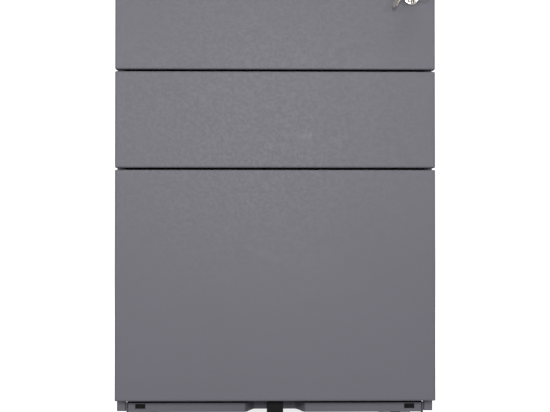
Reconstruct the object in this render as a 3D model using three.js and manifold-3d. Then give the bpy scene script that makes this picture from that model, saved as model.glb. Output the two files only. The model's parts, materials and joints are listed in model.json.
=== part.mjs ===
// A mobile pedestal filing cabinet in folded sheet steel: two box drawers over one filing drawer,
// full-width fronts without handles, a key lock with a gang-lock bar, four twin-wheel castors, and a
// fifth, fixed castor under the filing drawer that stops the cabinet tipping when it is open.
// Millimetres. X to the right, Y from the face of the drawer fronts to the back, Z up from the floor.
import * as THREE from "three";
import { mergeVertices } from "three/addons/utils/BufferGeometryUtils.js";
import Module from "manifold-3d";

const wasm = await Module();
wasm.setup();

// ---------------------------------------------------------------- driving dimensions

const cabinetWidth = 390;
const cabinetDepth = 500; // face of the drawer fronts to the back panel's outer face
const bodySheet = 1; // steel of the carcass and the fronts
const traySheet = 0.8; // steel of the drawer trays
const seam = 0.3; // gap left between pieces that touch

const boxFrontHeight = 117.5;
const fileFrontHeight = 281;
const frontThickness = 15;
const frontGap = 2.5; // between one front and the next
const frontReturn = 30; // flange folded in behind each front
const fingerGap = 12; // open channel behind a front's side edges, where fingers pull

const topGap = 2;
const topEdgeHeight = 14;
const topReturn = 12;

const sideFlange = 11;
const sideReturn = 10;
const backFlange = 12;
const sideBelowBase = 9.5; // how far the side panels reach below the base plate

const baseEdge = 14; // depth of the base pan's side and back edges
const baseLip = 11.3; // depth of its front lip
const baseUnderFront = 6; // base plate up to the lowest front
const lipSetback = 2; // base pan's front lip behind the carcass front
const lipRelief = 1.6; // open corner between the lip's end and the side edge
const lipSlotWidth = 12.6;
const lipSlotHeight = 5.9;
const lipSlotFromEnd = 14.7; // slot's centre from the end of the lip
const lipSlotFromTop = 4;
const bayDepth = 28; // bay in the lip that the fifth castor moves out of
const bayFrontHalf = 38;
const bayBackHalf = 25;

const slideThickness = 12.7;
const slideSheet = 1.2;
const slideLip = 8.8; // how far a slide member's edges turn over
const boxSlideHeight = 35;
const fileSlideHeight = 45;
const slideNest = 1.6; // ball race between nested members
const slideRearClear = 20;
const slideFromFlange = 2; // slide's front end behind the side panel's front flange

const trayAboveFront = 5.5; // tray floor over the bottom edge of its front
const trayBehindSlide = 10; // slide's rear end past the tray's
const boxTrayHeight = 69;
const fileTrayHeight = 230;
const trayRim = 6;
const boxSlideRise = 25; // slide's centre over the tray floor
const fileSlideRise = 122;

const catchHeight = 10; // tab on a tray's side that the lock bar stops
const catchReach = 11;
const catchOverSlide = 3.5;
const catchClear = 2;

const lockFromEdge = 29; // lock's axis from the front's right and top edges
const barrelRadius = 8.7;
const barrelFaceRadius = 10;
const barrelFaceDepth = 2.5;
const barrelLength = 20; // behind the front's face
const plugRadius = 6;
const plugClear = 0.3;
const nutWidth = 23; // across flats
const nutDepth = 4;
const camRadius = 11.5;
const camThickness = 2.5;
const drivePinRadius = 2.5;
const drivePinThrow = 9; // from the lock's axis
const drivePinClear = 0.6;

const barThickness = 2;
const barWidth = 16;
const barTabHeight = 10;
const guideWall = 3;
const guideClear = 0.5;
const guideHeight = 18;

const keyThickness = 1.5;
const keyBowRadius = 9.5;
const keyHoleRadius = 4.1;
const keyHoleMargin = 1.6; // metal left between the hole and the bow's end
const keyBladeHeight = 8.4;
const keyBladeLength = 17.5;
const ringRadius = 16.5;
const ringWire = 0.6;
// The ring's centre, to the right of straight up from the key's hole.
const ringTilt = THREE.MathUtils.degToRad(43);
const spareOnRing = THREE.MathUtils.degToRad(91); // where the spare key rides, to the left of the ring's top
const spareLean = THREE.MathUtils.degToRad(34); // its blade, to the left of straight down
const spareTurn = THREE.MathUtils.degToRad(42); // its flat side, from edge-on towards the front

const wheelRadius = 18.5;
const wheelWidth = 10.8;
const wheelBore = 3.4;
const castorAxleRadius = 3;
const castorTrail = 14; // axle behind the kingpin
const castorWebHalf = 8.4; // half the hood's middle, between the wheels
const hoodWall = 1.6;
const hoodClear = 1;
const hoodBottom = 12; // the hood's lower edge over the floor
const kingpinRadius = 4.5;
const kingpinCollar = 6.6;
const kingpinClear = 0.3;
const castorMountSize = 44;
const castorMountThickness = 8;
const castorNeck = 6.5; // open length of neck between the hood and the mounting block
const socketRise = 1.6; // hood's socket over its covers
const castorFromSide = 43; // kingpin from the cabinet's side
const castorBehindLip = 25; // front kingpins behind the base pan's lip
const castorFromBack = 52;

const fifthBehindFront = 21; // fifth castor's axle behind its drawer front
const fifthWheelWidth = 14;
const fifthForkWidth = 20;
const fifthForkHalfDepth = 12;
const fifthFloorClear = 1.5;
const fifthPlateHalf = 26;

const railHeight = 18; // hanging-file rail
const railGrip = 11; // how far it sits over the tray's side
const railWidth = 4.4;
const railRidge = 4;

// ---------------------------------------------------------------- levels and planes worked out from them

const halfWidth = cabinetWidth / 2;
const socketTopZ = 2 * wheelRadius + hoodClear + hoodWall + socketRise;
// Floor to the underside of the base plate.
const castorHeight = socketTopZ + castorNeck + castorMountThickness + seam;
const baseTopZ = castorHeight + bodySheet;
const sideBottomZ = baseTopZ - sideBelowBase;
const baseBottomZ = baseTopZ - baseEdge;
const lipBottomZ = baseTopZ - baseLip;

const fileFrontZ = baseTopZ + baseUnderFront;
const middleFrontZ = fileFrontZ + fileFrontHeight + frontGap;
const topFrontZ = middleFrontZ + boxFrontHeight + frontGap;
const topEdgeZ = topFrontZ + boxFrontHeight + topGap;
const cabinetHeight = topEdgeZ + topEdgeHeight;

const carcassFrontY = frontThickness + fingerGap;
const returnEndY = carcassFrontY + bodySheet + sideReturn;
const lipY = carcassFrontY + lipSetback;
const sideBackY = cabinetDepth - bodySheet - seam;

const slideOuterX = halfWidth - sideFlange - 0.5;
const slideFrontY = carcassFrontY + bodySheet + slideFromFlange;
const slideLength = cabinetDepth - slideFrontY - slideRearClear;
const trayHalf = slideOuterX - slideThickness - seam;
const trayFrontY = frontThickness + seam;
const trayBackY = slideFrontY + slideLength - trayBehindSlide;

const lockX = halfWidth - lockFromEdge;
const lockZ = topFrontZ + boxFrontHeight - lockFromEdge;
// The pin stands 45 degrees above the axis when unlocked.
const drivePinOffset = drivePinThrow * Math.SQRT1_2;
const barX = slideOuterX + 3;
const barY = returnEndY + 2;

// Each drawer: where its front starts and how tall front, tray and slide are.
const drawers = [
  {
    name: "top",
    frontZ: topFrontZ,
    front: boxFrontHeight,
    tray: boxTrayHeight,
    slide: boxSlideHeight,
    rise: boxSlideRise,
  },
  {
    name: "middle",
    frontZ: middleFrontZ,
    front: boxFrontHeight,
    tray: boxTrayHeight,
    slide: boxSlideHeight,
    rise: boxSlideRise,
  },
  {
    name: "file",
    frontZ: fileFrontZ,
    front: fileFrontHeight,
    tray: fileTrayHeight,
    slide: fileSlideHeight,
    rise: fileSlideRise,
  },
];
for (const d of drawers) {
  d.floorZ = d.frontZ + trayAboveFront;
  d.slideZ = d.floorZ + d.rise;
  d.catchZ = d.slideZ + d.slide / 2 + catchOverSlide;
}
const [topDrawer, middleDrawer, fileDrawer] = drawers;

// ---------------------------------------------------------------- materials

function finish(color, roughness, metalness) {
  return new THREE.MeshStandardMaterial({ color, roughness, metalness });
}
const greyPaint = finish(0x7e7d83, 0.5, 0.1);
const zincSteel = finish(0xb4b6b8, 0.35, 0.9);
const blackPlastic = finish(0x1b1b1f, 0.5, 0);
const chrome = finish(0xd2d2d4, 0.15, 1);

// ---------------------------------------------------------------- solid helpers

// A three.js geometry as a solid: vertices snapped to a micrometre grid, so that faces meant to be flush
// are exactly flush, then merged, and the triangles that merging collapsed left out.
function solidOf(geometry) {
  const bare = geometry.index ? geometry.toNonIndexed() : geometry.clone();
  bare.deleteAttribute("normal");
  bare.deleteAttribute("uv");
  const points = bare.attributes.position.array;
  for (let i = 0; i < points.length; i++) points[i] = Math.round(points[i] * 1000) / 1000;
  const merged = mergeVertices(bare, 1e-4);
  const index = merged.index.array;
  const kept = [];
  for (let i = 0; i < index.length; i += 3) {
    const [a, b, c] = [index[i], index[i + 1], index[i + 2]];
    if (a !== b && b !== c && c !== a) kept.push(a, b, c);
  }
  return new wasm.Manifold(
    new wasm.Mesh({
      numProp: 3,
      vertProperties: merged.attributes.position.array,
      triVerts: new Uint32Array(kept),
    }),
  );
}

const join = (...solids) => solids.reduce((sum, s) => sum.add(s));
const cut = (solid, ...tools) => tools.reduce((rest, t) => rest.subtract(t), solid);

// A box from its limits on each axis; the two limits of an axis may come in either order.
function block([x0, x1], [y0, y1], [z0, z1]) {
  const box = new THREE.BoxGeometry(Math.abs(x1 - x0), Math.abs(y1 - y0), Math.abs(z1 - z0));
  return solidOf(box.translate((x0 + x1) / 2, (y0 + y1) / 2, (z0 + z1) / 2));
}

// A cylinder along an axis ("x", "y" or "z"), from one limit to the other.
function rod(axis, radius, [from, to], [u, v], segments = 24) {
  const cylinder = new THREE.CylinderGeometry(radius, radius, Math.abs(to - from), segments);
  const middle = (from + to) / 2;
  if (axis === "x") return solidOf(cylinder.rotateZ(Math.PI / 2).translate(middle, u, v));
  if (axis === "y") return solidOf(cylinder.translate(u, middle, v));
  return solidOf(cylinder.rotateX(Math.PI / 2).translate(u, v, middle));
}

// A turned piece: the closed profile's points are [radius, place along the axis].
function turned(axis, profile, [u, v], segments = 24) {
  const loop = [...profile, profile[0]].map(([r, along]) => new THREE.Vector2(r, along));
  const lathe = new THREE.LatheGeometry(loop, segments);
  if (axis === "x") lathe.rotateZ(-Math.PI / 2).translate(0, u, v);
  else lathe.translate(u, 0, v);
  const solid = solidOf(lathe);
  if (solid.volume() > 0) return solid;
  return turned(axis, [...profile].reverse(), [u, v], segments);
}

// An outline of [x, y] points, extruded upwards between two heights.
function upright(outline, [z0, z1]) {
  const shape = new THREE.Shape(outline.map(([x, y]) => new THREE.Vector2(x, y)));
  const solid = new THREE.ExtrudeGeometry(shape, { depth: z1 - z0, bevelEnabled: false });
  return solidOf(solid.translate(0, 0, z0));
}

// A section of [x, z] points, extruded from front to back.
function lengthwise(section, [y0, y1]) {
  const shape = new THREE.Shape(section.map(([x, z]) => new THREE.Vector2(x, z)));
  const solid = new THREE.ExtrudeGeometry(shape, { depth: y1 - y0, bevelEnabled: false });
  return solidOf(solid.rotateX(Math.PI / 2).translate(0, y1, 0));
}

const cabinet = new THREE.Group();

// Adds a named piece. asOriginal lets flush faces of joined solids simplify into one, which drops slivers.
function place(name, solid, material) {
  const { vertProperties, triVerts } = solid.asOriginal().simplify(0.001).getMesh();
  const geometry = new THREE.BufferGeometry()
    .setAttribute("position", new THREE.BufferAttribute(new Float32Array(vertProperties), 3))
    .setIndex(new THREE.BufferAttribute(new Uint32Array(triVerts), 1));
  const flat = geometry.toNonIndexed();
  flat.computeVertexNormals();
  const mesh = new THREE.Mesh(flat, material);
  mesh.name = name;
  cabinet.add(mesh);
  return mesh;
}

const sides = [
  { name: "left", sign: -1 },
  { name: "right", sign: 1 },
];

// ---------------------------------------------------------------- carcass

// A side panel: wall, front flange and its return, back flange, and a top flange under the top panel.
function sidePanel(sign) {
  const at = (x) => sign * x;
  const top = topEdgeZ - seam;
  const height = [sideBottomZ, top];
  const inner = halfWidth - sideFlange;
  return join(
    block([at(halfWidth - bodySheet), at(halfWidth)], [carcassFrontY, sideBackY], height),
    block([at(inner), at(halfWidth)], [carcassFrontY, carcassFrontY + bodySheet], height),
    block([at(inner), at(inner + bodySheet)], [carcassFrontY, returnEndY], height),
    block([at(halfWidth - backFlange), at(halfWidth)], [sideBackY - bodySheet, sideBackY], height),
    block([at(halfWidth - backFlange), at(halfWidth)], [carcassFrontY, sideBackY], [top - bodySheet, top]),
  );
}

// The top: a tray turned upside down, its edges folded in again underneath.
function topPanel() {
  const inside = halfWidth - bodySheet;
  const opening = halfWidth - topReturn;
  return cut(
    block([-halfWidth, halfWidth], [0, cabinetDepth], [topEdgeZ, cabinetHeight]),
    block(
      [-inside, inside],
      [bodySheet, cabinetDepth - bodySheet],
      [topEdgeZ + bodySheet, cabinetHeight - bodySheet],
    ),
    block(
      [-opening, opening],
      [topReturn, cabinetDepth - topReturn],
      [topEdgeZ - 1, cabinetHeight - bodySheet],
    ),
  );
}

function backPanel() {
  return block(
    [-halfWidth, halfWidth],
    [cabinetDepth - bodySheet, cabinetDepth],
    [sideBottomZ, topEdgeZ - seam],
  );
}

// The base pan's half width stays inside the side panels' returns.
const baseHalf = halfWidth - sideFlange - 0.4;
const baseBackY = cabinetDepth - backFlange;

// The pan's outline from above: straight at the sides and back, with a curved bay in the front edge.
function baseOutline(inset) {
  const steps = 12;
  const bay = [];
  for (let i = 0; i <= steps; i++) {
    const t = i / steps;
    const x = THREE.MathUtils.lerp(bayFrontHalf, bayBackHalf, t) + inset;
    bay.push([x, lipY + bayDepth * THREE.MathUtils.smoothstep(t, 0, 1) + inset]);
  }
  const edge = baseHalf - inset;
  return [
    [-edge, lipY + inset],
    ...bay.map(([x, y]) => [-x, y]),
    ...bay.reverse(),
    [edge, lipY + inset],
    [edge, baseBackY - inset],
    [-edge, baseBackY - inset],
  ];
}

// The base pan: plate and edges turned down all round. The front lip is shallower than the side edges,
// follows the bay, stands clear of the side edges as a folded corner does, and has a slot near each end.
function basePan() {
  const inside = baseHalf - bodySheet;
  const lipEnd = inside - lipRelief;
  const slotX = lipEnd - lipSlotFromEnd;
  const slotZ = baseTopZ - lipSlotFromTop;
  const throughLip = [lipY - 1, lipY + bodySheet + 1];
  const corner = (s) => block([s * lipEnd, s * inside], throughLip, [baseBottomZ - 1, baseTopZ - bodySheet]);
  const slot = (s) =>
    block(
      [s * slotX - lipSlotWidth / 2, s * slotX + lipSlotWidth / 2],
      throughLip,
      [slotZ - lipSlotHeight / 2, slotZ + lipSlotHeight / 2],
    );
  return cut(
    upright(baseOutline(0), [baseBottomZ, baseTopZ]),
    upright(baseOutline(bodySheet), [baseBottomZ - 1, baseTopZ - bodySheet]),
    block([-inside, inside], [lipY - 1, lipY + bayDepth + 3], [baseBottomZ - 1, lipBottomZ]),
    corner(-1),
    corner(1),
    slot(-1),
    slot(1),
  );
}

for (const { name, sign } of sides) place(`side_panel_${name}`, sidePanel(sign), greyPaint);
place("top_panel", topPanel(), greyPaint);
place("back_panel", backPanel(), greyPaint);
place("base_pan", basePan(), greyPaint);

// ---------------------------------------------------------------- telescopic slides

// A C-section: a web at x0 with its edges turned over towards x1, closed side first.
function channel(sign, [webX, tipX], halfHeight, centreZ, [y0, y1]) {
  const inward = Math.sign(tipX - webX) * slideSheet;
  const p = (x, z) => [sign * x, centreZ + z];
  return lengthwise(
    [
      p(webX, -halfHeight),
      p(tipX, -halfHeight),
      p(tipX, -halfHeight + slideSheet),
      p(webX + inward, -halfHeight + slideSheet),
      p(webX + inward, halfHeight - slideSheet),
      p(tipX, halfHeight - slideSheet),
      p(tipX, halfHeight),
      p(webX, halfHeight),
    ],
    [y0, y1],
  );
}

const slideSpan = [slideFrontY, slideFrontY + slideLength];
const nestStep = slideSheet + slideNest;
const innerWebX = slideOuterX - slideThickness;

// The cabinet member stands off the side panel on two spacers, clear of the panel's front flange.
function slideOuter(sign, d) {
  const spacerLength = 30;
  const spacerFromEnd = 45;
  const spacerHalf = d.slide / 2 - 5;
  const spacerX = [sign * (slideOuterX - 0.5), sign * (halfWidth - bodySheet - seam)];
  const spacerZ = [d.slideZ - spacerHalf, d.slideZ + spacerHalf];
  const spacer = (y) => block(spacerX, [y, y + spacerLength], spacerZ);
  return join(
    channel(sign, [slideOuterX, slideOuterX - slideLip], d.slide / 2, d.slideZ, slideSpan),
    spacer(slideSpan[0] + spacerFromEnd),
    spacer(slideSpan[1] - spacerFromEnd - spacerLength),
  );
}

function slideInner(sign, d, nesting) {
  const half = d.slide / 2 - nesting * nestStep;
  return channel(sign, [innerWebX, innerWebX + slideLip - 2], half, d.slideZ, slideSpan);
}

for (const d of drawers) {
  for (const { name, sign } of sides) {
    const isFile = d === fileDrawer;
    place(`${d.name}_slide_cabinet_member_${name}`, slideOuter(sign, d), zincSteel);
    place(`${d.name}_slide_drawer_member_${name}`, slideInner(sign, d, isFile ? 2 : 1), zincSteel);
    if (!isFile) continue;
    const web = slideOuterX - slideSheet - slideNest;
    const middle = channel(sign, [web, web - slideLip + 1], d.slide / 2 - nestStep, d.slideZ, slideSpan);
    place(`file_slide_middle_member_${name}`, middle, zincSteel);
  }
}

// ---------------------------------------------------------------- drawers

// A front: a shallow pan with its edges folded back and in again, and a hole where the lock goes through.
function drawerFront(d) {
  const z0 = d.frontZ;
  const z1 = d.frontZ + d.front;
  const inside = halfWidth - bodySheet;
  const opening = halfWidth - frontReturn;
  const pan = cut(
    block([-halfWidth, halfWidth], [0, frontThickness], [z0, z1]),
    block([-inside, inside], [bodySheet, frontThickness - bodySheet], [z0 + bodySheet, z1 - bodySheet]),
    block([-opening, opening], [bodySheet, frontThickness + 1], [z0 + frontReturn, z1 - frontReturn]),
  );
  if (d !== topDrawer) return pan;
  return cut(pan, rod("y", barrelRadius + seam, [-1, frontThickness + 1], [lockX, lockZ], 32));
}

// A tray: floor, front wall and sides in one folded sheet, with the catch for the lock bar on its right.
// The box trays' rims are folded in; the filing tray's stay straight, for the hanging rails.
function drawerTray(d) {
  const z0 = d.floorZ;
  const z1 = d.floorZ + d.tray;
  const inner = trayHalf - traySheet;
  const length = [trayFrontY, trayBackY];
  const catchY = barY + barThickness + catchClear;
  const walls = join(
    block([-trayHalf, trayHalf], length, [z0, z0 + traySheet]),
    block([-trayHalf, trayHalf], [trayFrontY, trayFrontY + traySheet], [z0, z1]),
    block([-trayHalf, -inner], length, [z0, z1]),
    block([inner, trayHalf], length, [z0, z1]),
    block(
      [trayHalf - traySheet / 2, trayHalf + catchReach],
      [catchY, catchY + barThickness],
      [d.catchZ, d.catchZ + catchHeight],
    ),
  );
  if (d === fileDrawer) return walls;
  const rimY = [trayFrontY + traySheet / 2, trayBackY - traySheet - trayRim - seam];
  const rimZ = [z1 - traySheet, z1];
  const rim = (s) => block([s * (inner - trayRim), s * (trayHalf - traySheet / 2)], rimY, rimZ);
  return join(walls, rim(-1), rim(1));
}

function drawerBack(d) {
  const half = trayHalf - traySheet - seam;
  const z0 = d.floorZ + traySheet + seam;
  const z1 = d.floorZ + d.tray;
  return join(
    block([-half, half], [trayBackY - traySheet, trayBackY], [z0, z1]),
    block([-half, half], [trayBackY - traySheet - trayRim, trayBackY], [z1 - traySheet, z1]),
  );
}

for (const d of drawers) {
  place(`${d.name}_drawer_front`, drawerFront(d), greyPaint);
  place(`${d.name}_drawer_tray`, drawerTray(d), greyPaint);
  place(`${d.name}_drawer_back`, drawerBack(d), greyPaint);
}

// A hanging-file rail: a plastic strip gripping the tray's side, with a ridge that the folders' hooks
// ride on.
function fileRail(sign) {
  const top = fileDrawer.floorZ + fileDrawer.tray;
  const bottom = top - railGrip;
  const slotIn = trayHalf - traySheet - seam;
  const slotOut = trayHalf + seam;
  const skin = (railWidth - (slotOut - slotIn)) / 2;
  const p = (x, z) => [sign * x, z];
  return lengthwise(
    [
      p(slotIn - skin, bottom),
      p(slotIn, bottom),
      p(slotIn, top + seam),
      p(slotOut, top + seam),
      p(slotOut, bottom),
      p(slotOut + skin, bottom),
      p(slotOut + skin, bottom + railHeight),
      p(slotIn, bottom + railHeight),
      p(slotIn, bottom + railHeight + railRidge),
      p(slotIn - skin, bottom + railHeight + railRidge),
    ],
    [trayFrontY + 3, trayBackY - traySheet - trayRim - 2],
  );
}
for (const { name, sign } of sides) place(`hanging_file_rail_${name}`, fileRail(sign), blackPlastic);

// ---------------------------------------------------------------- lock and keys

const lockAxis = [lockX, lockZ];
const plugBack = barrelLength + barrelFaceDepth;

function lockBarrel() {
  const bore = plugRadius + plugClear;
  const face = -seam - barrelFaceDepth;
  return turned(
    "y",
    [
      [bore, face],
      [barrelFaceRadius - 0.8, face],
      [barrelFaceRadius, face + 0.8],
      [barrelFaceRadius, -seam],
      [barrelRadius, -seam],
      [barrelRadius, barrelLength],
      [bore, barrelLength],
    ],
    lockAxis,
    32,
  );
}

function lockPlug() {
  const front = -seam - barrelFaceDepth - 0.6;
  const slotHalf = keyThickness / 2 + seam;
  const slotHigh = keyBladeHeight / 2 + seam;
  return cut(
    rod("y", plugRadius, [front, plugBack], lockAxis, 28),
    block(
      [lockX - slotHalf, lockX + slotHalf],
      [front - 1, barrelLength - 1],
      [lockZ - slotHigh, lockZ + slotHigh],
    ),
  );
}

function lockNut() {
  const corner = nutWidth / Math.sqrt(3);
  const hex = [];
  for (let i = 0; i < 6; i++) {
    const angle = (i * Math.PI) / 3;
    hex.push([lockX + corner * Math.cos(angle), lockZ + corner * Math.sin(angle)]);
  }
  const y0 = bodySheet + seam;
  const threadHole = rod("y", barrelRadius + seam, [0, y0 + nutDepth + 1], lockAxis, 32);
  return cut(lengthwise(hex, [y0, y0 + nutDepth]), threadHole);
}

// The disc on the plug's tail, with the pin that drives the lock bar.
function lockCam() {
  const y0 = plugBack + seam;
  const pinEnd = barY + barThickness + 2;
  return join(
    rod("y", camRadius, [y0, y0 + camThickness], lockAxis, 28),
    rod(
      "y",
      drivePinRadius,
      [y0 + camThickness / 2, pinEnd],
      [lockX + drivePinOffset, lockZ + drivePinOffset],
      16,
    ),
  );
}

// A key lying along Y with its hole at the origin: bow, shoulder and blade, pointing to +Y.
const bowCentre = keyBowRadius - keyHoleRadius - keyHoleMargin;
const shoulderEnd = bowCentre + keyBowRadius + 3;
const keyTip = shoulderEnd + keyBladeLength;
function keyBlank() {
  const half = keyThickness / 2;
  const through = [-half - 1, half + 1];
  const bladeHalf = keyBladeHeight / 2;
  const blade = [
    [shoulderEnd - 1, -bladeHalf],
    [keyTip - 4, -bladeHalf],
    [keyTip - 0.8, -1.2],
    [keyTip, 0],
    [keyTip - 0.8, 1.2],
    [keyTip - 4, bladeHalf],
    [shoulderEnd - 1, bladeHalf],
  ];
  const bladeShape = new THREE.Shape(blade.map(([y, z]) => new THREE.Vector2(y, z)));
  const bladePlate = new THREE.ExtrudeGeometry(bladeShape, { depth: keyThickness, bevelEnabled: false });
  // the shape's own x and y become the key's y and z
  bladePlate.rotateY(Math.PI / 2).rotateX(Math.PI / 2).translate(-half, 0, 0);
  const notchWidth = 1.8;
  const notch = (y, deep) => {
    const along = [shoulderEnd + y, shoulderEnd + y + notchWidth];
    return block(through, along, [-keyBladeHeight, -bladeHalf + deep]);
  };
  return cut(
    join(
      rod("x", keyBowRadius, [-half, half], [bowCentre, 0], 32),
      block([-half, half], [bowCentre, shoulderEnd], [-bladeHalf - 1, bladeHalf + 1]),
      solidOf(bladePlate),
    ),
    rod("x", keyHoleRadius, through, [0, 0], 24),
    notch(4, 1),
    notch(7.5, 1.6),
    notch(11, 0.8),
  );
}

// The bar on the right-hand side: a strip with a slotted tab for the drive pin and one tab per drawer.
function lockBar() {
  const depth = [barY, barY + barThickness];
  const tabReach = trayHalf + 2.5;
  const pinZ = lockZ + drivePinOffset;
  const pinTabX = lockX + drivePinOffset - drivePinRadius - drivePinClear - 3;
  const pinRoom = drivePinRadius + drivePinClear;
  const slotX = [lockX + drivePinOffset - pinRoom, lockX + drivePinThrow + pinRoom];
  const slotHalf = drivePinRadius + drivePinClear;
  const tab = (d) => {
    const z = d.catchZ + catchHeight + catchClear;
    return block([tabReach, barX + barThickness], depth, [z, z + barTabHeight]);
  };
  const pinTabHalf = slotHalf + 2.5;
  return cut(
    join(
      block(
        [barX, barX + barThickness],
        [barY, barY + barWidth],
        [fileDrawer.catchZ + catchHeight + catchClear, pinZ + pinTabHalf],
      ),
      ...drawers.map(tab),
      block([pinTabX, barX + barThickness], depth, [pinZ - pinTabHalf, pinZ + pinTabHalf]),
    ),
    block(slotX, [depth[0] - 1, depth[1] + 1], [pinZ - slotHalf, pinZ + slotHalf]),
  );
}

// A guide for the bar: a U-shaped block on the side panel, open towards the slides' side of the tabs.
function barGuide(z) {
  const outer = halfWidth - bodySheet - seam;
  const back = barY + barWidth + guideClear;
  const lip = barX - guideClear;
  const high = [z, z + guideHeight];
  return cut(
    block([lip - 1.2, outer], [barY + barThickness + 3, back + guideWall], high),
    block([lip, barX + barThickness + guideClear], [barY, back], [z - 1, z + guideHeight + 1]),
  );
}

place("lock_barrel", lockBarrel(), chrome);
place("lock_plug", lockPlug(), chrome);
place("lock_nut", lockNut(), zincSteel);
place("lock_cam", lockCam(), zincSteel);
place("lock_bar", lockBar(), zincSteel);
place("lock_bar_guide_lower", barGuide(fileDrawer.catchZ + 60), blackPlastic);
place("lock_bar_guide_upper", barGuide(middleDrawer.catchZ + 55), blackPlastic);

// The key in the lock points straight in, its bow upright.
const keyClear = 2; // the key's shoulder off the barrel's face
const ringHoleY = -seam - barrelFaceDepth - keyClear - shoulderEnd;
place("key", keyBlank(), chrome).position.set(lockX, ringHoleY, lockZ);

// The split ring stands up from the hole in the key's bow.
const ringX = lockX + ringRadius * Math.sin(ringTilt);
const ringZ = lockZ + ringRadius * Math.cos(ringTilt);
const ring = solidOf(new THREE.TorusGeometry(ringRadius, ringWire, 8, 36).rotateX(Math.PI / 2));
place("key_ring", ring, chrome).position.set(ringX, ringHoleY, ringZ);

// The spare key rides on the ring's upper left, its blade falling away down to the left.
const spareKey = place("spare_key", keyBlank(), chrome);
const bladeWay = new THREE.Vector3(-Math.sin(spareLean), 0, -Math.cos(spareLean));
const edgeOn = new THREE.Vector3(Math.cos(spareLean), 0, -Math.sin(spareLean));
const spareNormal = edgeOn.applyAxisAngle(bladeWay, -spareTurn);
const spareAcross = new THREE.Vector3().crossVectors(spareNormal, bladeWay);
spareKey.setRotationFromMatrix(new THREE.Matrix4().makeBasis(spareNormal, bladeWay, spareAcross));
spareKey.position.set(
  ringX - ringRadius * Math.sin(spareOnRing),
  ringHoleY,
  ringZ + ringRadius * Math.cos(spareOnRing),
);

// ---------------------------------------------------------------- castors

const wheelInner = castorWebHalf + 0.4;

// A wheel on an axle along X, its inner face at x0 and the rest towards the given side.
function wheel(sign, x0, width, [y, z], radius) {
  const s = (t) => sign * (x0 + t * width);
  return turned(
    "x",
    [
      [wheelBore, s(0)],
      [radius - 1.6, s(0)],
      [radius, s(0.14)],
      [radius, s(0.86)],
      [radius - 1.6, s(1)],
      [radius - 5, s(1)],
      [radius - 6.5, s(0.85)],
      [wheelBore, s(0.85)],
    ],
    [y, z],
    24,
  );
}

// The hood of a twin-wheel castor: a web between the wheels with the axle through it, a thin cover over
// each wheel, and a socket for the kingpin.
function castorHood(x, y) {
  const axle = [y + castorTrail, wheelRadius];
  const coverRadius = wheelRadius + hoodClear + hoodWall;
  const coverHalf = wheelInner + wheelWidth + 0.6;
  const well = (s) => {
    const along = [x + s * castorWebHalf, x + s * (coverHalf + 1)];
    return rod("x", wheelRadius + hoodClear, along, axle, 36);
  };
  const below = [axle[1] - coverRadius - 1, hoodBottom];
  return cut(
    join(
      cut(
        rod("x", coverRadius, [x - coverHalf, x + coverHalf], axle, 36),
        well(-1),
        well(1),
        block([x - coverHalf - 1, x + coverHalf + 1], [y - 60, y + 80], below),
      ),
      rod("z", kingpinCollar, [wheelRadius, socketTopZ], [x, y], 24),
      rod("x", castorAxleRadius, [x - coverHalf + 1.5, x + coverHalf - 1.5], axle, 16),
    ),
    rod("z", kingpinRadius + kingpinClear, [wheelRadius + 7, socketTopZ + 1], [x, y], 20),
  );
}

// The moulded mounting block with its kingpin and the collar that the hood turns against.
function castorMount(x, y) {
  const top = castorHeight - seam;
  const under = top - castorMountThickness;
  const half = castorMountSize / 2;
  return join(
    block([x - half, x + half], [y - half, y + half], [under, top]),
    rod("z", kingpinCollar, [socketTopZ + 0.5, under + 0.5], [x, y], 24),
    rod("z", kingpinRadius, [wheelRadius + 7.5, under], [x, y], 20),
  );
}

const castors = [
  { name: "front_left", x: -1, y: lipY + castorBehindLip },
  { name: "front_right", x: 1, y: lipY + castorBehindLip },
  { name: "rear_left", x: -1, y: cabinetDepth - castorFromBack },
  { name: "rear_right", x: 1, y: cabinetDepth - castorFromBack },
];
for (const c of castors) {
  const x = c.x * (halfWidth - castorFromSide);
  place(`castor_${c.name}_mount`, castorMount(x, c.y), blackPlastic);
  place(`castor_${c.name}_hood`, castorHood(x, c.y), blackPlastic);
  for (const { name, sign } of sides) {
    const made = wheel(sign, 0, wheelWidth, [c.y + castorTrail, wheelRadius], wheelRadius);
    place(`castor_${c.name}_wheel_${name}`, made, blackPlastic).position.x = x + sign * wheelInner;
  }
}

// The fifth castor: a narrow fork under the filing tray, with one wheel that doesn't swivel.
const fifthAxle = [frontThickness + fifthBehindFront, wheelRadius + fifthFloorClear];

function fifthFork() {
  const [y, z] = fifthAxle;
  const top = fileDrawer.floorZ - seam;
  const half = fifthForkWidth / 2;
  const slot = fifthWheelWidth / 2 + 0.7;
  return cut(
    join(
      rod("x", fifthForkHalfDepth, [-half, half], [y, z], 28),
      block([-half, half], [y - fifthForkHalfDepth, y + fifthForkHalfDepth], [z, top]),
      block([-fifthPlateHalf, fifthPlateHalf], [trayFrontY + seam, y + fifthPlateHalf], [top - 2.2, top]),
    ),
    block([-slot, slot], [y - 30, y + 30], [0, z + wheelRadius + 2.5]),
    rod("x", castorAxleRadius + 0.3, [-half - 1, half + 1], [y, z], 16),
  );
}
place("fifth_castor_fork", fifthFork(), blackPlastic);

const fifthAxleEnd = fifthForkWidth / 2 + 1;
const fifthAxleRod = rod("x", castorAxleRadius, [-fifthAxleEnd, fifthAxleEnd], fifthAxle, 16);
place("fifth_castor_axle", fifthAxleRod, zincSteel);

const fifthWheel = wheel(1, -fifthWheelWidth / 2, fifthWheelWidth, fifthAxle, wheelRadius);
place("fifth_castor_wheel", fifthWheel, blackPlastic);

// ---------------------------------------------------------------- the part's frame

// The origin is on the floor, under the middle of everything, with the fronts facing -Y.
const extent = new THREE.Box3().setFromObject(cabinet, true);
cabinet.position.y = -(extent.min.y + extent.max.y) / 2;

export default cabinet;
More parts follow.
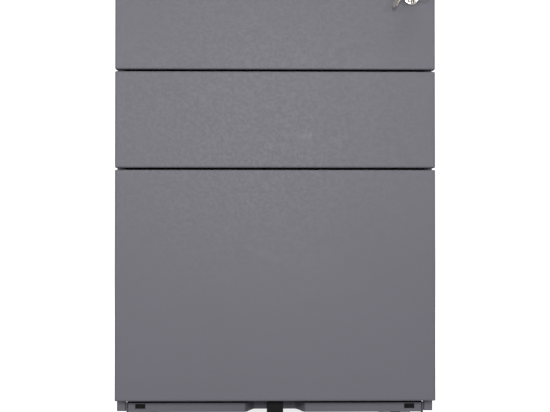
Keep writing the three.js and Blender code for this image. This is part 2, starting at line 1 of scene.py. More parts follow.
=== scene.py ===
import json
import math

import bmesh
import bpy
from mathutils import Matrix, Vector


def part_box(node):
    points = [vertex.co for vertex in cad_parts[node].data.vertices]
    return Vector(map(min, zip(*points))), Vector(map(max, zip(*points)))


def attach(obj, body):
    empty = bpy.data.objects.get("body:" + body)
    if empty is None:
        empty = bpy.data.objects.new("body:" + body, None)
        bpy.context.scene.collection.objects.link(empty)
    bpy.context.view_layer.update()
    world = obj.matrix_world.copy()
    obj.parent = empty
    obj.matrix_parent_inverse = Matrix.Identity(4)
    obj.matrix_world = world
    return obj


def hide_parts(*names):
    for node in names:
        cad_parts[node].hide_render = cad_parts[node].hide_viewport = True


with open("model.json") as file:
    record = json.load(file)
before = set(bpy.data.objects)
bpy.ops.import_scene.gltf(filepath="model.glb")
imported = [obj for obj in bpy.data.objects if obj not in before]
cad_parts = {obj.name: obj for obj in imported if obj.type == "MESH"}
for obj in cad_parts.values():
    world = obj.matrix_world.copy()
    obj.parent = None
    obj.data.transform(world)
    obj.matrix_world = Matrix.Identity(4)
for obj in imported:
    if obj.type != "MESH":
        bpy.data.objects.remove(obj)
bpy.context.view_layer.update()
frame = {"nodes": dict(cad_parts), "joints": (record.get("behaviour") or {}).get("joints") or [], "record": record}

mm = 0.001
drawers = ("top", "middle", "file")
sides = (("left", -1), ("right", 1))
paint, zinc_plate = "painted_steel", "zinc_plated_steel"
plastic, nickel_plate = "black_plastic", "nickel_plate"

front_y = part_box("file_drawer_front")[0].y
lock_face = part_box("lock_barrel")
lock_x = (lock_face[0].x + lock_face[1].x) / 2
lock_z = (lock_face[0].z + lock_face[1].z) / 2

# ---------------------------------------------------------------- materials


class Nodes:
    """A short way to write node graphs: each call makes a node and sets its inputs."""

    def __init__(self, tree):
        self.tree = tree

    def make(self, kind, settings=None, **inputs):
        node = self.tree.nodes.new(kind)
        for key, value in (settings or {}).items():
            setattr(node, key, value)
        for key, value in inputs.items():
            self.put(node, key.replace("_", " "), value)
        return node

    def put(self, node, key, value):
        socket = node.inputs[int(key) if key.isdigit() else key]
        if isinstance(value, bpy.types.NodeSocket):
            self.tree.links.new(value, socket)
        else:
            socket.default_value = value

    def math(self, operation, a, b):
        node = self.make("ShaderNodeMath", {"operation": operation})
        self.put(node, "0", a)
        self.put(node, "1", b)
        return node.outputs[0]

    def noise(self, where, scale, detail=3.0, roughness=0.5):
        node = self.make(
            "ShaderNodeTexNoise", Vector=where, Scale=scale, Detail=detail, Roughness=roughness
        )
        return node.outputs["Fac"]

    def ramp(self, value, low, high, to_low=0.0, to_high=1.0):
        node = self.make("ShaderNodeMapRange", {"interpolation_type": "SMOOTHSTEP"}, Value=value)
        ends = {"From Min": low, "From Max": high, "To Min": to_low, "To Max": to_high}
        for key, number in ends.items():
            self.put(node, key, number)
        return node.outputs["Result"]

    def mix(self, share, a, b):
        node = self.make("ShaderNodeMix", {"data_type": "RGBA"})
        self.put(node, "0", share)
        self.put(node, "6", a)
        self.put(node, "7", b)
        return node.outputs[2]

    def stretched(self, where, x, y, z):
        node = self.make("ShaderNodeMapping", Vector=where)
        node.inputs["Scale"].default_value = (x, y, z)
        return node.outputs[0]


def start_material(name):
    material = bpy.data.materials.new(name)
    material.use_nodes = True
    material.node_tree.nodes.clear()
    n = Nodes(material.node_tree)
    shader = n.make("ShaderNodeBsdfPrincipled")
    out = n.make("ShaderNodeOutputMaterial")
    n.put(out, "Surface", shader.outputs[0])
    where = n.make("ShaderNodeTexCoord").outputs["Object"]
    return material, n, shader, where


def shade(colour, share):
    """A colour made lighter or darker, with its alpha."""
    return [c * share for c in colour] + [1]


def bump(n, height, distance, strength, under=None):
    node = n.make("ShaderNodeBump", Height=height, Distance=distance, Strength=strength)
    if under is not None:
        n.put(node, "Normal", under)
    return node.outputs[0]


def powder_coat(name, colour, gloss):
    """Fine-textured satin powder coat: orange peel, faint mottle, handling marks."""
    material, n, shader, where = start_material(name)
    cloud = n.noise(where, 7.0, 3.0)
    mottle = n.noise(where, 260.0, 2.0)
    speck = n.ramp(n.noise(where, 2100.0, 1.0), 0.62, 0.74)
    marks = n.ramp(n.noise(n.stretched(where, 1, 1, 2.2), 16.0, 5.0, 0.62), 0.6, 0.78)
    base = n.mix(cloud, shade(colour, 0.965), shade(colour, 1.035))
    base = n.mix(n.ramp(mottle, 0.3, 0.7, 0.0, 0.22), base, shade(colour, 0.93))
    base = n.mix(n.math("MULTIPLY", speck, 0.16), base, shade(colour, 1.5))
    base = n.mix(n.math("MULTIPLY", marks, 0.12), base, shade(colour, 0.8))
    n.put(shader, "Base Color", base)
    rubbed = n.math("MULTIPLY", marks, -0.07)
    rough = n.ramp(mottle, 0.3, 0.7, gloss - 0.03, gloss + 0.04)
    n.put(shader, "Roughness", n.math("ADD", rubbed, rough))
    shader.inputs["Specular IOR Level"].default_value = 0.28
    peel = bump(n, n.noise(where, 620.0, 2.0), 0.00006, 0.5)
    grain = bump(n, n.noise(where, 2400.0, 2.0), 0.00002, 0.5, peel)
    n.put(shader, "Normal", grain)
    return material


def zinc(name, colour, rough, brushed=(1, 1, 1)):
    """Bright zinc plate: crystalline mottle, a faint yellow-blue tint and draw lines."""
    material, n, shader, where = start_material(name)
    lines = n.noise(n.stretched(where, *brushed), 900.0, 2.0)
    crystal = n.make("ShaderNodeTexVoronoi", Vector=where, Scale=420.0).outputs["Distance"]
    tint = n.noise(where, 22.0, 3.0)
    red, green, blue = colour
    yellowish = [red * 1.04, green, blue * 0.9, 1]
    bluish = [red * 0.93, green, blue * 1.06, 1]
    base = n.mix(tint, yellowish, bluish)
    base = n.mix(n.ramp(crystal, 0.0, 0.6, 0.25, 0.0), base, shade(colour, 0.72))
    n.put(shader, "Base Color", base)
    shader.inputs["Metallic"].default_value = 1.0
    n.put(shader, "Roughness", n.ramp(lines, 0.3, 0.7, rough - 0.07, rough + 0.1))
    n.put(shader, "Normal", bump(n, lines, 0.00003, 0.5))
    return material


def nickel(name, colour, rough=0.16):
    """Nickel plate: bright, with fine wear scratches and slight smudging."""
    material, n, shader, where = start_material(name)
    scratch = n.ramp(n.noise(n.stretched(where, 1, 5, 5), 700.0, 3.0, 0.7), 0.56, 0.72)
    smudge = n.noise(where, 150.0, 3.0)
    base = n.mix(n.math("MULTIPLY", scratch, 0.35), shade(colour, 1), shade(colour, 0.62))
    n.put(shader, "Base Color", base)
    shader.inputs["Metallic"].default_value = 1.0
    smudged = n.ramp(smudge, 0.35, 0.7, rough - 0.05, rough + 0.12)
    n.put(shader, "Roughness", n.math("ADD", smudged, n.math("MULTIPLY", scratch, 0.12)))
    n.put(shader, "Normal", bump(n, scratch, 0.00001, 0.4))
    return material


def moulded(name, colour, rough, grain=1300.0):
    """Moulded nylon: fine spark-eroded grain, faint flow marks, dust on the upper faces."""
    material, n, shader, where = start_material(name)
    flow = n.noise(n.stretched(where, 1, 1, 3), 35.0, 3.0)
    texture = n.noise(where, grain, 3.0, 0.6)
    facing = n.make("ShaderNodeSeparateXYZ")
    n.put(facing, "0", n.make("ShaderNodeTexCoord").outputs["Normal"])
    upward = n.ramp(facing.outputs[2], 0.3, 1.0)
    dust = n.math("MULTIPLY", upward, n.ramp(n.noise(where, 120.0, 4.0), 0.42, 0.7))
    base = n.mix(flow, shade(colour, 0.85), shade(colour, 1.2))
    dust_colour = (0.3, 0.29, 0.27, 1)
    base = n.mix(n.math("MULTIPLY", dust, 0.1), base, dust_colour)
    n.put(shader, "Base Color", base)
    grained = n.ramp(texture, 0.3, 0.7, rough - 0.06, rough + 0.1)
    n.put(shader, "Roughness", n.math("ADD", grained, n.math("MULTIPLY", dust, 0.3)))
    shader.inputs["Specular IOR Level"].default_value = 0.13
    n.put(shader, "Normal", bump(n, texture, 0.00004, 0.45))
    return material


grey = powder_coat("powder_coat_grey", (0.112, 0.1078, 0.1285), 0.45)
inner_grey = powder_coat("powder_coat_inside", (0.112, 0.108, 0.127), 0.5)
zinc_sheet = zinc("zinc_sheet", (0.62, 0.63, 0.64), 0.32, (6, 0.25, 6))
zinc_part = zinc("zinc_hardware", (0.58, 0.58, 0.57), 0.3)
nickel_lock = nickel("nickel_lock", (0.72, 0.69, 0.65))
nickel_key = nickel("nickel_key", (0.76, 0.71, 0.66), 0.2)
steel_wire = nickel("steel_wire", (0.7, 0.7, 0.7), 0.14)
black_nylon = moulded("black_nylon", (0.0045, 0.0045, 0.005), 0.6)
black_tread = moulded("black_tread", (0.016, 0.016, 0.017), 0.6, 800.0)
black_rail = moulded("black_rail", (0.014, 0.014, 0.016), 0.5)

# ---------------------------------------------------------------- mesh helpers


def finish_mesh(name, bm, body, material, replaces=(), smooth_angle=35):
    bmesh.ops.remove_doubles(bm, verts=bm.verts, dist=1e-7)
    bmesh.ops.recalc_face_normals(bm, faces=bm.faces)
    mesh = bpy.data.meshes.new(name)
    bm.to_mesh(mesh)
    bm.free()
    mesh.shade_smooth()
    mesh.set_sharp_from_angle(angle=math.radians(smooth_angle))
    obj = bpy.data.objects.new(name, mesh)
    bpy.context.scene.collection.objects.link(obj)
    mesh.materials.append(material)
    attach(obj, body)
    if replaces:
        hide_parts(*replaces)
    return obj


def round_edges(obj, width, angle):
    bevel = obj.modifiers.new("edge", "BEVEL")
    bevel.width, bevel.segments, bevel.limit_method = width, 2, "ANGLE"
    bevel.angle_limit = math.radians(angle)
    bevel.harden_normals = True


def loft(bm, rings):
    """Joins rings of equally many points, each to the next, and closes the two ends."""
    made = [[bm.verts.new(p) for p in ring] for ring in rings]
    count = len(made[0])
    for a, b in zip(made, made[1:]):
        for i in range(count):
            j = (i + 1) % count
            bm.faces.new((a[i], a[j], b[j], b[i]))
    bm.faces.new(list(reversed(made[0])))
    bm.faces.new(made[-1])


def rounded_loop(u0, u1, v0, v1, radius, steps=5):
    """The points of a rectangle with rounded corners, anticlockwise."""
    radius = max(radius, 0.05 * mm)
    points = []
    corners = (
        (u1 - radius, v0 + radius, -90),
        (u1 - radius, v1 - radius, 0),
        (u0 + radius, v1 - radius, 90),
        (u0 + radius, v0 + radius, 180),
    )
    for cu, cv, start in corners:
        for k in range(steps + 1):
            a = math.radians(start + 90 * k / steps)
            points.append((cu + radius * math.cos(a), cv + radius * math.sin(a)))
    return points


def pan(bm, u, v, depth, sheet, flange, fold, corner, to_point):
    """A folded pan: flat face, sides turned back, and a flange turned in behind.

    The profile is (inset, depth) pairs, and to_point maps (u, v, depth).
    """
    inner = max(fold - sheet, 0.2 * mm)
    sharp = 0.1 * mm
    arc = [math.radians(90 * k / 5) for k in range(6)]
    profile = [(fold * 1.9, 0.0)]
    profile += [(fold - fold * math.sin(a), fold - fold * math.cos(a)) for a in arc]
    profile += [(fold - fold * math.cos(a), depth - fold + fold * math.sin(a)) for a in arc]
    profile += [(flange, depth), (flange, depth - sheet)]
    bend, behind = sheet + inner, depth - sheet - inner
    back_arc = arc[::-1]
    profile += [(bend - inner * math.cos(a), behind + inner * math.sin(a)) for a in back_arc]
    profile += [(bend - inner * math.sin(a), bend - inner * math.cos(a)) for a in back_arc]
    rings = []
    for inset, deep in profile:
        radius = corner - inset if inset < corner else sharp
        loop = rounded_loop(u[0] + inset, u[1] - inset, v[0] + inset, v[1] - inset, radius)
        rings.append([to_point(a, b, deep) for a, b in loop])
    loft(bm, rings)


def folded(path, sheet, fold, steps=4):
    """The outline of a bent sheet whose middle follows path, with every bend rounded."""
    points = [Vector(path[0])]
    for before, corner, after in zip(path, path[1:], path[2:]):
        before, corner, after = Vector(before), Vector(corner), Vector(after)
        a, b = (before - corner).normalized(), (after - corner).normalized()
        half = a.angle(b) / 2
        radius = fold + sheet / 2
        longest = 0.49 * min((before - corner).length, (after - corner).length)
        back = min(radius / math.tan(half), longest)
        radius = back * math.tan(half)
        centre = corner + (a + b).normalized() * (radius / math.sin(half))
        start, end = corner + a * back - centre, corner + b * back - centre
        turn = start.angle_signed(end)
        for k in range(steps + 1):
            points.append(centre + Matrix.Rotation(-turn * k / steps, 2) @ start)
    points.append(Vector(path[-1]))
    left, right = [], []
    for i, p in enumerate(points):
        way = (points[min(i + 1, len(points) - 1)] - points[max(i - 1, 0)]).normalized()
        side = Vector((-way.y, way.x)) * sheet / 2
        left.append(p + side)
        right.append(p - side)
    return [tuple(p) for p in left + right[::-1]]


def extruded(bm, outline, lo, hi, to_point):
    """An outline of (a, b) pairs extruded from lo to hi; to_point maps (a, b, along)."""
    loft(bm, [[to_point(a, b, lo) for a, b in outline], [to_point(a, b, hi) for a, b in outline]])


def turned(bm, profile, to_point, steps=64):
    """A closed profile of (radius, along) pairs, turned. to_point maps (a, b, along)."""
    rings = []
    for k in range(steps):
        a = 2 * math.pi * k / steps
        points = [to_point(r * math.cos(a), r * math.sin(a), along) for r, along in profile]
        rings.append([bm.verts.new(point) for point in points])
    for k in range(steps):
        ring, following = rings[k], rings[(k + 1) % steps]
        for i in range(len(profile)):
            j = (i + 1) % len(profile)
            bm.faces.new((ring[i], following[i], following[j], ring[j]))


def box_of(bm, lo, hi):
    lo, hi = Vector(lo), Vector(hi)
    matrix = Matrix.Translation((lo + hi) / 2) @ Matrix.Diagonal((*(hi - lo), 1))
    bmesh.ops.create_cube(bm, size=1.0, matrix=matrix)


def screw_head(bm, centre, axis, radius, height):
    """A domed rivet or screw head standing on a surface that faces +X, -X or down."""
    tip = 0.01 * mm
    dome = [math.radians(a) for a in (15, 35, 55, 75)]
    profile = [(tip, 0), (radius, 0)]
    profile += [(radius * math.cos(a), height * math.sin(a)) for a in dome]
    profile += [(tip, height)]
    x, y, z = centre
    frames = {
        "x": lambda a, b, c: (x + c, y + a, z + b),
        "-x": lambda a, b, c: (x - c, y + a, z + b),
        "-z": lambda a, b, c: (x + a, y + b, z - c),
    }
    turned(bm, profile, frames[axis], 20)


# ---------------------------------------------------------------- sheet-metal pieces

sheet = 1.0 * mm
front_fold, front_corner, front_return = 1.7 * mm, 1.2 * mm, 30 * mm
top_fold, top_return = 2.0 * mm, 12 * mm

# Fronts: folded pans with rounded edges.
for drawer in drawers:
    node = f"{drawer}_drawer_front"
    lo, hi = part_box(node)
    bm = bmesh.new()
    pan(
        bm,
        (lo.x, hi.x),
        (lo.z, hi.z),
        hi.y - lo.y,
        sheet,
        front_return,
        front_fold,
        front_corner,
        lambda a, b, c: (a, lo.y + c, b),
    )
    finish_mesh(f"{drawer}_front_panel", bm, f"{drawer}_drawer", grey, [node])

# The top: the same pan turned face up.
lo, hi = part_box("top_panel")
bm = bmesh.new()
pan(
    bm,
    (lo.x, hi.x),
    (lo.y, hi.y),
    hi.z - lo.z,
    sheet,
    top_return,
    top_fold,
    top_fold,
    lambda a, b, c: (a, b, hi.z - c),
)
finish_mesh("top_sheet", bm, "carcass", grey, ["top_panel"])

# Side panels: one folded sheet each, with the flange that closes the top.
front_flange, rear_flange = 11 * mm, 12 * mm
side_bend = 0.6 * mm
for side, s in sides:
    node = f"side_panel_{side}"
    lo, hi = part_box(node)
    outer = hi.x if s > 0 else -lo.x
    half = sheet / 2
    front, back = lo.y + half, hi.y - half
    path = [
        (outer - front_flange + half, lo.y + front_flange),
        (outer - front_flange + half, front),
        (outer - half, front),
        (outer - half, back),
        (outer - rear_flange, back),
    ]
    bm = bmesh.new()
    extruded(bm, folded(path, sheet, side_bend), lo.z, hi.z, lambda a, b, c: (s * a, b, c))
    x0, x1 = sorted((s * (outer - 12 * mm), s * (outer - 1.2 * mm)))
    box_of(bm, (x0, lo.y + sheet, hi.z - sheet), (x1, hi.y - sheet, hi.z))
    finish_mesh(f"side_sheet_{side}", bm, "carcass", grey, [node])

# ---------------------------------------------------------------- drawer trays

tray_sheet = 0.8 * mm
tray_rim = 6.5 * mm
rib_section = [(-6 * mm, 0), (-3.5 * mm, 1.2 * mm), (3.5 * mm, 1.2 * mm), (6 * mm, 0)]
rib_from_end, rib_slope, rib_ends = 30 * mm, 6 * mm, 0.02
catch_height = {"top": 45.5 * mm, "middle": 45.5 * mm, "file": 147.5 * mm}
catch_reach = 11.2 * mm

for drawer in drawers:
    node = f"{drawer}_drawer_tray"
    lo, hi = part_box(node)
    wall = -lo.x
    t = tray_sheet
    side_x, floor_z = wall - t / 2, lo.z + t / 2
    path = [(-side_x, hi.z), (-side_x, floor_z), (side_x, floor_z), (side_x, hi.z)]
    if drawer != "file":
        # the box trays' rims are folded in
        top, rim_x = hi.z - t / 2, wall - tray_rim
        path = [(-rim_x, top), (-side_x, top), *path[1:3], (side_x, top), (rim_x, top)]
    bm = bmesh.new()
    extruded(bm, folded(path, t, t), lo.y + t, hi.y, lambda a, b, c: (a, c, b))
    box_of(bm, (-wall, lo.y, lo.z), (wall, lo.y + t, hi.z))
    # three shallow stiffening ribs pressed up in the floor
    rib_front, rib_back = lo.y + rib_from_end, hi.y - rib_from_end
    stations = (
        (rib_front, rib_ends),
        (rib_front + rib_slope, 1),
        (rib_back - rib_slope, 1),
        (rib_back, rib_ends),
    )
    for x in (-80 * mm, 0.0, 80 * mm):
        rings = []
        for y, k in stations:
            rings.append([(x + a, y, lo.z + t + b * k) for a, b in rib_section])
        loft(bm, rings)
    # the catch that the lock bar stops, on the right-hand wall
    catch_z = lo.z + catch_height[drawer]
    catch_lo = (hi.x - catch_reach, lo.y + 28.7 * mm, catch_z + 0.5 * mm)
    box_of(bm, catch_lo, (hi.x, lo.y + 30.7 * mm, catch_z + 10.5 * mm))
    finish_mesh(f"{drawer}_tray_sheet", bm, f"{drawer}_drawer", inner_grey, [node])

# ---------------------------------------------------------------- slides

# Each member is a channel: the x of its web and of its lips' tips, from the cabinet's middle.
channels = {
    "cabinet_member": (183.5 * mm, 174.7 * mm),
    "middle_member": (180.7 * mm, 172.9 * mm),
    "drawer_member": (170.8 * mm, 177.6 * mm),
}
slide_sheet, slide_bend = 1.2 * mm, 1.0 * mm
spacer_x = (183.3 * mm, 193.7 * mm)
spacer_length, spacer_from_end, spacer_margin = 30 * mm, 45 * mm, 5 * mm
fixing_from_end = 35 * mm
# For each member with fixings: their kind, how many, and the heads' radius and height.
fixings = {
    "drawer_member": ("screws", 4, 2.8 * mm, 1.3 * mm),
    "middle_member": ("rivets", 3, 2.2 * mm, 0.5 * mm),
}


def slide_member(drawer, member, body, side, s):
    node = f"{drawer}_slide_{member}_{side}"
    lo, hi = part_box(node)
    t = slide_sheet
    centre, half_z = (lo.z + hi.z) / 2, (hi.z - lo.z) / 2
    web, tip = channels[member]
    web_x = web + (t / 2 if tip > web else -t / 2)
    lip_z = half_z - t / 2
    path = [(tip, -lip_z), (web_x, -lip_z), (web_x, lip_z), (tip, lip_z)]
    bm = bmesh.new()
    outline = folded(path, t, slide_bend)
    extruded(bm, outline, lo.y, hi.y, lambda a, b, c: (s * a, c, centre + b))
    if member == "cabinet_member":
        # spacers to the side panel
        x0, x1 = sorted(s * x for x in spacer_x)
        spacer_half = half_z - spacer_margin
        for y in (lo.y + spacer_from_end, hi.y - spacer_from_end - spacer_length):
            lowest = (x0, y, centre - spacer_half)
            box_of(bm, lowest, (x1, y + spacer_length, centre + spacer_half))
    short = member.split("_")[0]
    finish_mesh(f"{drawer}_slide_{short}_{side}", bm, body, zinc_sheet, [node])
    if member not in fixings:
        return
    # screws into the tray, or the flat rivets that hold the middle member's ball race
    kind, count, radius, height = fixings[member]
    face = web + (t if kind == "screws" else 0)
    step = (hi.y - lo.y - 2 * fixing_from_end) / (count - 1)
    bm = bmesh.new()
    for k in range(count):
        where = (s * face, lo.y + fixing_from_end + k * step, centre)
        screw_head(bm, where, "x" if s > 0 else "-x", radius, height)
    finish_mesh(f"{drawer}_slide_{kind}_{side}", bm, body, zinc_part)


for drawer in drawers:
    for side, s in sides:
        slide_member(drawer, "cabinet_member", "carcass", side, s)
        slide_member(drawer, "drawer_member", f"{drawer}_drawer", side, s)
        if drawer == "file":
            slide_member(drawer, "middle_member", "file_slide_middle_members", side, s)

# ---------------------------------------------------------------- castors


def castor_wheel(name, outer):
    """A wheel with its tread and hub; outer is 1 or -1, the way along X that its disc faces."""
    lo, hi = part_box(name)
    w, r = hi.x - lo.x, (hi.z - lo.z) / 2
    start = lo.x if outer > 0 else hi.x
    y, z = (lo.y + hi.y) / 2, (lo.z + hi.z) / 2

    def place(a, b, c):
        return (start + outer * c, y + a, z + b)

    tread = [
        (r - 4.4 * mm, 0.6 * mm),
        (r - 2.4 * mm, 0.15 * mm),
        (r - 1.2 * mm, 0.3 * mm),
        (r - 0.3 * mm, 1.3 * mm),
        (r, 2.6 * mm),
        (r, w - 2.6 * mm),
        (r - 0.3 * mm, w - 1.3 * mm),
        (r - 1.2 * mm, w - 0.3 * mm),
        (r - 2.4 * mm, w - 0.1 * mm),
        (r - 4.4 * mm, w - 0.5 * mm),
    ]
    hub = [
        (3.45 * mm, 0.2 * mm),
        (6.5 * mm, 0.2 * mm),
        (7.2 * mm, 1.4 * mm),
        (r - 6.8 * mm, 1.4 * mm),
        (r - 5.8 * mm, 0.5 * mm),
        (r - 4.3 * mm, 0.6 * mm),
        (r - 4.3 * mm, w - 0.5 * mm),
        (r - 5.2 * mm, w - 0.3 * mm),
        (r - 6.6 * mm, w - 1.9 * mm),
        (8.2 * mm, w - 1.9 * mm),
        (7.4 * mm, w - 0.7 * mm),
        (3.45 * mm, w - 0.7 * mm),
    ]
    bm = bmesh.new()
    turned(bm, tread, place, 72)
    finish_mesh(f"{name}_tread", bm, name, black_tread)
    bm = bmesh.new()
    turned(bm, hub, place, 72)
    # six spokes pressed into the outer disc, narrower outwards
    near, far = 7.8 * mm, r - 6.0 * mm
    spoke = ((near, -0.9 * mm), (far, -0.6 * mm), (far, 0.6 * mm), (near, 0.9 * mm))
    for k in range(6):
        a = math.radians(60 * k + 15)
        cos, sin = math.cos(a), math.sin(a)
        rings = []
        for along in (w - 2.2 * mm, w - 1.1 * mm):
            rings.append([place(d * cos - e * sin, d * sin + e * cos, along) for d, e in spoke])
        loft(bm, rings)
    finish_mesh(f"{name}_hub", bm, name, black_nylon, [name])


# The mount's moulded block, between the base pan and its collar, and the screws in its corners.
mount_thickness = 8 * mm
mount_screw_inset, mount_screw_radius, mount_screw_height = 5.5 * mm, 3.2 * mm, 1.8 * mm
for corner in ("front_left", "front_right", "rear_left", "rear_right"):
    for side, s in sides:
        castor_wheel(f"castor_{corner}_wheel_{side}", s)
    lo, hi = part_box(f"castor_{corner}_mount")
    under = hi.z - mount_thickness
    bm = bmesh.new()
    for x in (lo.x + mount_screw_inset, hi.x - mount_screw_inset):
        for y in (lo.y + mount_screw_inset, hi.y - mount_screw_inset):
            screw_head(bm, (x, y, under), "-z", mount_screw_radius, mount_screw_height)
    finish_mesh(f"castor_{corner}_screws", bm, "carcass", zinc_part)
castor_wheel("fifth_castor_wheel", 1)

# ---------------------------------------------------------------- lock and keys

# Barrel: turned face with a polished rim, and its threaded body behind the front.
# The profile is (radius, depth) pairs in millimetres.
rim = [(6.25, 0.35), (6.6, 0.0), (8.6, 0.0), (9.0, 0.12), (9.55, 0.5)]
rim += [(9.85, 1.0), (10.0, 1.7), (10.0, 2.5), (8.6, 2.5)]
thread_pitch = 1.25
threads = []
for k in range(14):
    threads += [(8.62, 4.0 + k * thread_pitch), (8.1, 4.6 + k * thread_pitch)]
profile = [(r * mm, a * mm) for r, a in rim + threads + [(8.5, 22.6), (6.25, 22.6)]]
face_y = lock_face[0].y
bm = bmesh.new()
turned(bm, profile, lambda a, b, c: (lock_x + a, face_y + c, lock_z + b), 96)
finish_mesh("lock_barrel_turned", bm, "top_drawer", nickel_lock, ["lock_barrel"])

# Key blanks: a flat plate with a round bow, a hole and a cut edge.


def key_mesh(bm, to_point):
    """The key with its hole at the origin, its blade along +b, its thickness along c."""
    bow, hole, margin, blade_half, thick = 9.5 * mm, 4.1 * mm, 1.6 * mm, 4.2 * mm, 1.5 * mm
    centre = bow - hole - margin
    shoulder = centre + bow + 3 * mm
    tip = shoulder + 17.5 * mm
    drawn_in = bow * 0.99
    start = math.asin((blade_half + 1 * mm) / bow)
    outline = []
    for k in range(41):
        a = start + (2 * math.pi - 2 * start) * k / 40
        outline.append((math.sin(a) * drawn_in, centre + math.cos(a) * drawn_in))
    shoulder_half = blade_half + 0.9 * mm
    back = blade_half - 0.1 * mm
    outline += [(-shoulder_half, shoulder), (-back, shoulder), (-back, tip - 4 * mm)]
    outline += [(-1.1 * mm, tip - 0.9 * mm), (0, tip - 0.1 * mm), (1.1 * mm, tip - 0.9 * mm)]
    outline += [(blade_half - 0.9 * mm, tip - 3.6 * mm)]
    # cuts for the pins, worked back from the tip: how far from the shoulder, and how deep
    pin_cuts = [(12.6, 0.9), (11.2, 0.9), (9.4, 1.7), (7.8, 1.7)]
    pin_cuts += [(5.9, 1.1), (4.3, 1.1), (2.6, 0.2)]
    for along, deep in pin_cuts:
        outline.append((blade_half - deep * mm, shoulder + along * mm))
    outline += [(back, shoulder), (shoulder_half, shoulder)]
    turns = [2 * math.pi * k / 40 for k in range(40)]
    round_hole = [(hole * math.cos(a), hole * math.sin(a)) for a in turns]
    shapes = (outline[::-1], round_hole)
    faces = []
    for z in (-thick / 2, thick / 2):
        loops = [[bm.verts.new(to_point(a, b, z)) for a, b in shape] for shape in shapes]
        edges = [bm.edges.new(pair) for loop in loops for pair in zip(loop, loop[1:] + loop[:1])]
        bmesh.ops.triangle_fill(bm, use_beauty=True, use_dissolve=False, edges=edges)
        faces.append(loops)
    for a, b in zip(*faces):
        for i in range(len(a)):
            j = (i + 1) % len(a)
            bm.faces.new((a[i], a[j], b[j], b[i]))


def key_piece(name, body, node, origin, blade_way, normal):
    across = blade_way.cross(normal)

    def to_point(a, b, c):
        return tuple(origin + across * a + blade_way * b + normal * c)

    bm = bmesh.new()
    key_mesh(bm, to_point)
    obj = finish_mesh(name, bm, body, nickel_key, [node])
    round_edges(obj, 0.22 * mm, 40)


joints = {j["name"]: j for j in frame["joints"]}
ring_hole = Vector(joints["key_ring_swing"]["pos_m"])
spare_hole = Vector(joints["spare_key_swing"]["pos_m"])
key_piece("key_cut", "lock_plug", "key", ring_hole, Vector((0, 1, 0)), Vector((1, 0, 0)))
# The spare key hangs leaning to the left, turned about its own blade.
lean, turn = math.radians(34), math.radians(42)
blade = Vector((-math.sin(lean), 0, -math.cos(lean)))
flat = Vector((math.cos(lean), 0, -math.sin(lean)))
flat.rotate(Matrix.Rotation(-turn, 3, blade))
key_piece("spare_key_cut", "spare_key", "spare_key", spare_hole, blade, flat)

# The split ring: two turns of one flat wire, which overlap where they lie side by side.
lo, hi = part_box("key_ring")
centre = (lo + hi) / 2
wire = 0.3 * mm  # half the wire's thickness along Y
wire_half_width = wire * 1.9
coil_radius = (hi.x - lo.x) / 2 - 2 * wire * 1.1
steps, turns, wire_sides = 144, 2, 10
coil_start = 0.6
rings = []
for k in range(steps + 1):
    a = 2 * math.pi * turns * k / steps + coil_start
    shift = (k / steps - 0.5) * 2 * wire * 0.98
    out = Vector((math.cos(a), 0, math.sin(a)))
    middle = centre + out * coil_radius + Vector((0, shift, 0))
    ring = []
    for j in range(wire_sides):
        b = 2 * math.pi * j / wire_sides
        along_y = Vector((0, wire * math.sin(b), 0))
        ring.append(tuple(middle + out * (wire_half_width * math.cos(b)) + along_y))
    rings.append(ring)
bm = bmesh.new()
loft(bm, rings)
finish_mesh("split_ring", bm, "key_ring", steel_wire, ["key_ring"])

# ---------------------------------------------------------------- nodes that keep their CAD shape

# Drawer backs, base pan and the other nodes keep their CAD shape, with rounded edges and a finish.
finishes = {paint: grey, zinc_plate: zinc_part, plastic: black_nylon, nickel_plate: nickel_lock}
slots = {row["node"]: row["material_slot"] for row in frame["record"]["subparts"]}
for name, node in frame["nodes"].items():
    if node.hide_render:
        continue
    material = finishes[slots[name]]
    if name.startswith("hanging_file_rail"):
        material = black_rail
    if name.endswith("drawer_back"):
        material = inner_grey
    node.data.materials.clear()
    node.data.materials.append(material)
    if "custom_normal" in node.data.attributes:
        node.data.attributes.remove(node.data.attributes["custom_normal"])
    node.data.polygons.foreach_set("use_smooth", [True] * len(node.data.polygons))
    weld = node.modifiers.new("weld", "WELD")
    weld.merge_threshold = 1e-6
    round_edges(node, 0.35 * mm, 38)

# ---------------------------------------------------------------- floor, light and camera

studio_low, studio_high = 0.46, 0.3  # brightness of the studio's walls, low and high
world = bpy.data.worlds.new("studio")
bpy.context.scene.world = world
world.use_nodes = True
world.node_tree.nodes.clear()
w = Nodes(world.node_tree)
white = (1, 1, 1, 1)
# A white backdrop, seen by the camera only, in a studio whose walls are dimmer, most so high up.
height = w.make("ShaderNodeSeparateXYZ")
w.put(height, "0", w.make("ShaderNodeTexCoord").outputs["Generated"])
walls = w.make("ShaderNodeBackground", Color=white)
w.put(walls, "Strength", w.ramp(height.outputs[2], -0.35, 0.6, studio_low, studio_high))
backdrop = w.make("ShaderNodeBackground", Color=white, Strength=1.1)
seen = w.make("ShaderNodeMixShader")
w.put(seen, "0", w.make("ShaderNodeLightPath").outputs["Is Camera Ray"])
w.put(seen, "1", walls.outputs[0])
w.put(seen, "2", backdrop.outputs[0])
w.put(w.make("ShaderNodeOutputWorld"), "Surface", seen.outputs[0])

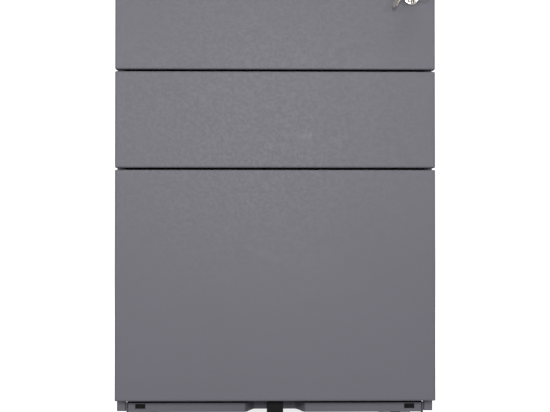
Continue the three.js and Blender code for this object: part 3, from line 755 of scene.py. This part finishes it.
floor_mesh = bpy.data.meshes.new("floor")
bm = bmesh.new()
bmesh.ops.create_grid(bm, x_segments=24, y_segments=24, size=14)
bm.to_mesh(floor_mesh)
bm.free()
floor = bpy.data.objects.new("floor", floor_mesh)
bpy.context.scene.collection.objects.link(floor)
floor_material, n, shader, where = start_material("pale_floor")
pale, paler = (0.9, 0.9, 0.9, 1), (0.93, 0.93, 0.93, 1)
n.put(shader, "Base Color", n.mix(n.noise(where, 1.5, 2.0), pale, paler))
shader.inputs["Roughness"].default_value = 0.75
shader.inputs["Emission Color"].default_value = white
shader.inputs["Emission Strength"].default_value = 0.75
floor_mesh.materials.append(floor_material)
floor.visible_diffuse = False
floor.visible_glossy = False


def area_light(name, place, target, size, power):
    data = bpy.data.lights.new(name, "AREA")
    data.shape = "RECTANGLE"
    data.size, data.size_y = size
    data.energy = power
    light = bpy.data.objects.new(name, data)
    bpy.context.scene.collection.objects.link(light)
    light.location = place
    light.rotation_euler = (Vector(target) - Vector(place)).to_track_quat("-Z", "Y").to_euler()


area_light("left_softbox", (-1.2, front_y - 3.0, 0.92), (0, front_y, 0.15), (0.6, 0.55), 22.5)
area_light("right_softbox", (1.35, front_y - 3.0, 0.92), (0, front_y, 0.15), (0.7, 0.6), 14)
area_light("front_softbox", (0.02, front_y - 2.3, 0.62), (0, front_y, 0.1), (0.3, 0.45), 24)
area_light("top_light", (0.1, front_y - 0.75, 2.4), (0, front_y, 0.3), (1.6, 0.9), 22)
area_light("back_light", (0.3, 1.6, 2.6), (0, 0, 0.3), (2.0, 2.0), 26)

camera_data = bpy.data.cameras.new("camera")
camera = bpy.data.objects.new("camera", camera_data)
bpy.context.scene.collection.objects.link(camera)
bpy.context.scene.camera = camera
camera_data.sensor_width = 36.0
camera_data.lens = 82.56
camera_data.clip_end = 60
# Fitted to the photograph's edges.
camera_side, camera_back, camera_height = -0.0274, 1.534, 0.2764
look_right, look_up = math.radians(1.005), math.radians(0.88)
camera.location = (camera_side, front_y - camera_back, camera_height)
level = math.cos(look_up)
ahead = Vector((math.sin(look_right) * level, math.cos(look_right) * level, math.sin(look_up)))
camera.rotation_euler = ahead.to_track_quat("-Z", "Y").to_euler()

bpy.context.scene.view_settings.view_transform = "Standard"
bpy.context.scene.view_settings.look = "None"
